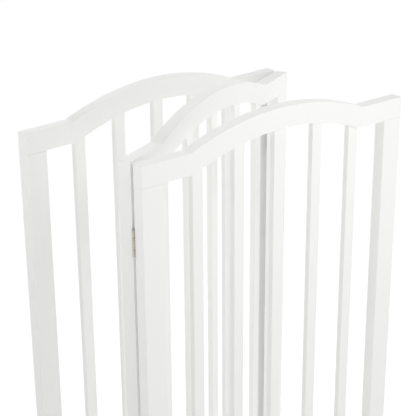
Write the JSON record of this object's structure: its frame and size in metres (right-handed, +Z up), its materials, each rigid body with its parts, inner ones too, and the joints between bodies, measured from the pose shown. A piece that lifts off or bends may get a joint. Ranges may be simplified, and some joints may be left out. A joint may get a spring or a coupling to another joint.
{
  "type": "folding pet gate",
  "caption": "Free-standing folding wooden pet gate: arched picket panels joined by butt hinges, standing in a Z on plastic glides.",
  "frame": {"origin": "on the floor, at the middle of the bounding box as the gate stands in its Z", "axes": "+Z up; +X along the front panel from its hinged end to its free end; +Y from the front panel towards the rear panel"},
  "size_m": [0.5582, 0.2648, 0.914],
  "materials": {
    "painted_wood": "satin white paint",
    "dowel_wood": "raw beech",
    "hinge_steel": "satin nickel",
    "foot_plastic": "moulded, matte"
  },
  "bodies": {
    "middle_panel": {"middle_top_rail": "painted_wood", "middle_bottom_rail": "painted_wood", "middle_slat_1": "painted_wood", "middle_slat_2": "painted_wood", "middle_slat_3": "painted_wood", "middle_slat_4": "painted_wood", "middle_slat_5": "painted_wood", "middle_left_stile": "painted_wood", "middle_right_stile": "painted_wood", "middle_left_top_dowel": "dowel_wood", "middle_left_bottom_dowel": "dowel_wood", "middle_right_top_dowel": "dowel_wood", "middle_right_bottom_dowel": "dowel_wood", "middle_left_foot": "foot_plastic", "middle_right_foot": "foot_plastic", "left_upper_hinge_inner_leaf": "hinge_steel", "left_lower_hinge_inner_leaf": "hinge_steel", "right_upper_hinge_outer_leaf": "hinge_steel", "right_upper_hinge_pin": "hinge_steel", "right_lower_hinge_outer_leaf": "hinge_steel", "right_lower_hinge_pin": "hinge_steel"},
    "front_panel": {"front_top_rail": "painted_wood", "front_bottom_rail": "painted_wood", "front_slat_1": "painted_wood", "front_slat_2": "painted_wood", "front_slat_3": "painted_wood", "front_slat_4": "painted_wood", "front_slat_5": "painted_wood", "front_left_stile": "painted_wood", "front_right_stile": "painted_wood", "front_left_top_dowel": "dowel_wood", "front_left_bottom_dowel": "dowel_wood", "front_right_top_dowel": "dowel_wood", "front_right_bottom_dowel": "dowel_wood", "front_left_foot": "foot_plastic", "front_right_foot": "foot_plastic", "left_upper_hinge_outer_leaf": "hinge_steel", "left_upper_hinge_pin": "hinge_steel", "left_lower_hinge_outer_leaf": "hinge_steel", "left_lower_hinge_pin": "hinge_steel"},
    "rear_panel": {"rear_top_rail": "painted_wood", "rear_bottom_rail": "painted_wood", "rear_slat_1": "painted_wood", "rear_slat_2": "painted_wood", "rear_slat_3": "painted_wood", "rear_slat_4": "painted_wood", "rear_slat_5": "painted_wood", "rear_left_stile": "painted_wood", "rear_right_stile": "painted_wood", "rear_left_top_dowel": "dowel_wood", "rear_left_bottom_dowel": "dowel_wood", "rear_right_top_dowel": "dowel_wood", "rear_right_bottom_dowel": "dowel_wood", "rear_left_foot": "foot_plastic", "rear_right_foot": "foot_plastic", "right_upper_hinge_inner_leaf": "hinge_steel", "right_lower_hinge_inner_leaf": "hinge_steel"}
  },
  "joints": [
    {"name": "front_fold", "type": "hinge", "parent": "middle_panel", "child": "front_panel", "pos_m": [-0.23036, -0.11064, 0], "axis": [0, 0, -1], "range_deg": [-23, 157]},
    {"name": "rear_fold", "type": "hinge", "parent": "middle_panel", "child": "rear_panel", "pos_m": [0.2308, 0.11075, 0], "axis": [0, 0, -1], "range_deg": [-20, 160]}
  ]
}
